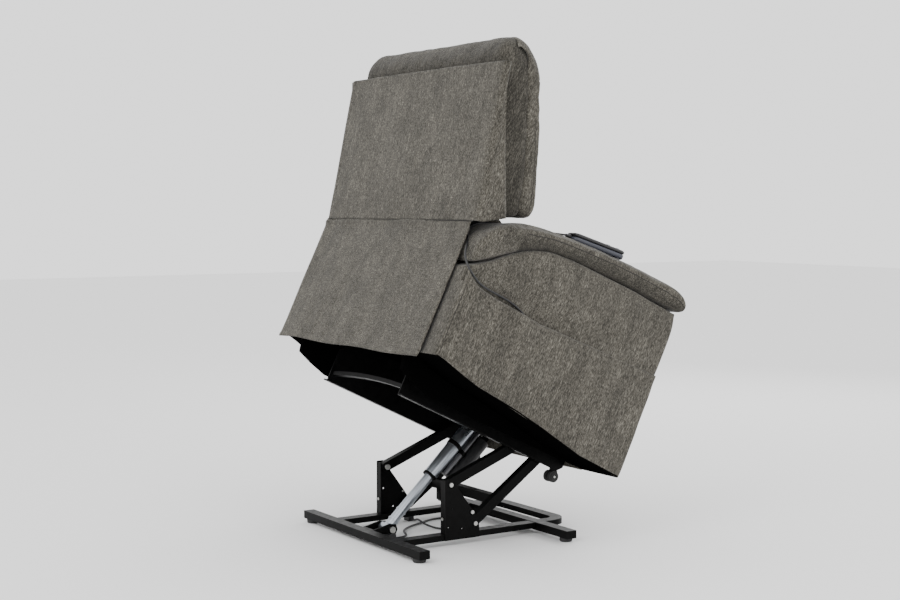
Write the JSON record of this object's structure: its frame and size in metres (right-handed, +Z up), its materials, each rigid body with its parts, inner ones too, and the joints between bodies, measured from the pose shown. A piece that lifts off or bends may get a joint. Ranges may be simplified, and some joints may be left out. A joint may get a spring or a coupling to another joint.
{
  "type": "lift recliner chair",
  "caption": "Motorised lift recliner armchair, shown raised and tilted forward on its link frame, with powered back, footrest and wired handset.",
  "frame": {"origin": "on the floor, at the centre of the bounding box without the two cords", "axes": "+Z up, the chair faces -Y, the sitter's right hand is at -X; rest pose is raised and tilted forward"},
  "size_m": [0.868, 0.8354, 1.3741],
  "materials": {
    "upholstery": "heathered grey-taupe tweed weave with vertical slubs",
    "black_steel": "satin black paint",
    "zinc": "bright zinc plate",
    "silver": "bright drawn tube",
    "black_plastic": "fine matt texture",
    "button_grey": "matt",
    "black_rubber": "matt",
    "board": "bare ply and pine"
  },
  "bodies": {
    "base": {"base_cross_bars": "black_steel", "base_rails": "black_steel", "base_front_loop": "black_steel", "base_feet": "black_rubber", "gussets": "black_steel", "base_bolts": "zinc", "motor_bracket": "black_steel", "cable_clips": "black_plastic", "base_cable": "black_rubber"},
    "lower_links": {"lower_links": "black_steel", "link_cross_tube": "black_steel"},
    "upper_links": {"upper_links": "black_steel"},
    "actuator_rod": {"actuator_rod": "silver"},
    "actuator_tube": {"actuator_tube": "silver", "actuator_pin_upper": "zinc", "spindle_tube": "silver", "actuator_rings": "black_steel", "lift_motor": "black_plastic", "lift_gearbox": "black_plastic"},
    "chair": {"lift_side_plates": "black_steel", "lift_cross_tubes": "black_steel", "mechanism_plates": "zinc", "seat_tubes": "zinc", "chair_pins": "zinc", "control_box": "black_plastic", "power_inlet": "black_plastic", "seat_deck": "board", "arm_boards": "board", "arm_side_right": "upholstery", "arm_side_left": "upholstery", "arm_pillow_right": "upholstery", "arm_pillow_left": "upholstery", "seat_cushion": "upholstery", "front_rail": "upholstery", "rear_flap_lower": "upholstery", "handset_case": "black_plastic", "handset_cover": "black_plastic", "handset_strain_relief": "black_plastic", "handset_cord": "black_rubber", "cord_grommet": "black_plastic"},
    "roller_right": {"roller_right": "black_rubber"},
    "roller_left": {"roller_left": "black_rubber"},
    "backrest": {"back_shell": "upholstery", "back_core": "upholstery", "back_pillow_head": "upholstery", "back_pillow_middle": "upholstery", "back_pillow_lumbar": "upholstery", "recline_lever": "zinc", "rear_flap_upper": "upholstery"},
    "recline_motor": {"recline_motor": "black_plastic"},
    "recline_rod": {"recline_rod": "zinc"},
    "leg_links_rear": {"leg_links_rear": "zinc"},
    "leg_links_front": {"leg_links_front": "zinc"},
    "footrest": {"footrest_board": "board", "footrest_brackets": "zinc", "footrest_pad": "upholstery"},
    "button_lift_up": {"button_lift_up": "button_grey"},
    "button_lift_down": {"button_lift_down": "button_grey"},
    "button_recline": {"button_recline": "button_grey"},
    "button_upright": {"button_upright": "button_grey"}
  },
  "joints": [
    {"name": "lift", "type": "hinge", "parent": "base", "child": "lower_links", "pos_m": [0, 0.1243, 0.0533], "axis": [1, 0, 0], "range_deg": [0, 25.92]},
    {"name": "chair_tilt", "type": "hinge", "parent": "lower_links", "child": "chair", "pos_m": [0, -0.12399, 0.23145], "axis": [1, 0, 0], "range_deg": [-51.99, 0]},
    {"name": "upper_link_swing", "type": "hinge", "parent": "base", "child": "upper_links", "pos_m": [0, 0.2027, 0.166], "axis": [1, 0, 0], "range_deg": [0, 21.69]},
    {"name": "actuator_swing", "type": "hinge", "parent": "base", "child": "actuator_rod", "pos_m": [0, 0.2934, 0.027], "axis": [1, 0, 0], "range_deg": [0, 12.04]},
    {"name": "actuator_stroke", "type": "slide", "parent": "actuator_rod", "child": "actuator_tube", "axis": [0, -0.723, 0.6909], "range_m": [-0.113, 0]},
    {"name": "back_recline", "type": "hinge", "parent": "chair", "child": "backrest", "pos_m": [0, 0.21492, 0.70599], "axis": [-1, 0, 0], "range_deg": [0, 35]},
    {"name": "recline_motor_swing", "type": "hinge", "parent": "chair", "child": "recline_motor", "pos_m": [0, 0.00127, 0.45849], "axis": [-1, 0, 0], "range_deg": [-5.08, 0]},
    {"name": "recline_stroke", "type": "slide", "parent": "recline_motor", "child": "recline_rod", "axis": [0, 0.8168, 0.5769], "range_m": [-0.0425, 0]},
    {"name": "footrest", "type": "hinge", "parent": "chair", "child": "leg_links_rear", "pos_m": [0, -0.06549, 0.48178], "axis": [-1, 0, 0], "range_deg": [0, 51]},
    {"name": "footrest_knee", "type": "hinge", "parent": "leg_links_rear", "child": "leg_links_front", "pos_m": [0, -0.08397, 0.27853], "axis": [-1, 0, 0], "range_deg": [-112.7, 0]},
    {"name": "footrest_board_swing", "type": "hinge", "parent": "leg_links_front", "child": "footrest", "pos_m": [0, -0.22691, 0.42051], "axis": [-1, 0, 0], "range_deg": [0, 141.7]},
    {"name": "roller_right_spin", "type": "hinge", "parent": "chair", "child": "roller_right", "pos_m": [0, -0.12229, 0.16009], "axis": [1, 0, 0], "continuous": true},
    {"name": "roller_left_spin", "type": "hinge", "parent": "chair", "child": "roller_left", "pos_m": [0, -0.12229, 0.16009], "axis": [1, 0, 0], "continuous": true},
    {"name": "button_lift_up_press", "type": "slide", "parent": "chair", "child": "button_lift_up", "axis": [0, 0.3052, -0.9523], "range_m": [0, 0.0015], "stiffness_N_per_m": 900, "springref_m": -0.0006},
    {"name": "button_lift_down_press", "type": "slide", "parent": "chair", "child": "button_lift_down", "axis": [0, 0.3052, -0.9523], "range_m": [0, 0.0015], "stiffness_N_per_m": 900, "springref_m": -0.0006},
    {"name": "button_recline_press", "type": "slide", "parent": "chair", "child": "button_recline", "axis": [0, 0.3052, -0.9523], "range_m": [0, 0.0015], "stiffness_N_per_m": 900, "springref_m": -0.0006},
    {"name": "button_upright_press", "type": "slide", "parent": "chair", "child": "button_upright", "axis": [0, 0.3052, -0.9523], "range_m": [0, 0.0015], "stiffness_N_per_m": 900, "springref_m": -0.0006}
  ],
  "couplings": [
    {"joint": "chair_tilt", "follows": "lift", "ratio": -1.9942},
    {"joint": "upper_link_swing", "follows": "lift", "ratio": 0.82542},
    {"joint": "actuator_swing", "follows": "lift", "ratio": 0.45307},
    {"joint": "actuator_stroke", "follows": "lift", "m_per_rad": -0.24867},
    {"joint": "recline_motor_swing", "follows": "back_recline", "ratio": -0.1366},
    {"joint": "recline_stroke", "follows": "back_recline", "m_per_rad": -0.06872},
    {"joint": "footrest_knee", "follows": "footrest", "ratio": -2.204},
    {"joint": "footrest_board_swing", "follows": "footrest", "ratio": 2.7725}
  ]
}
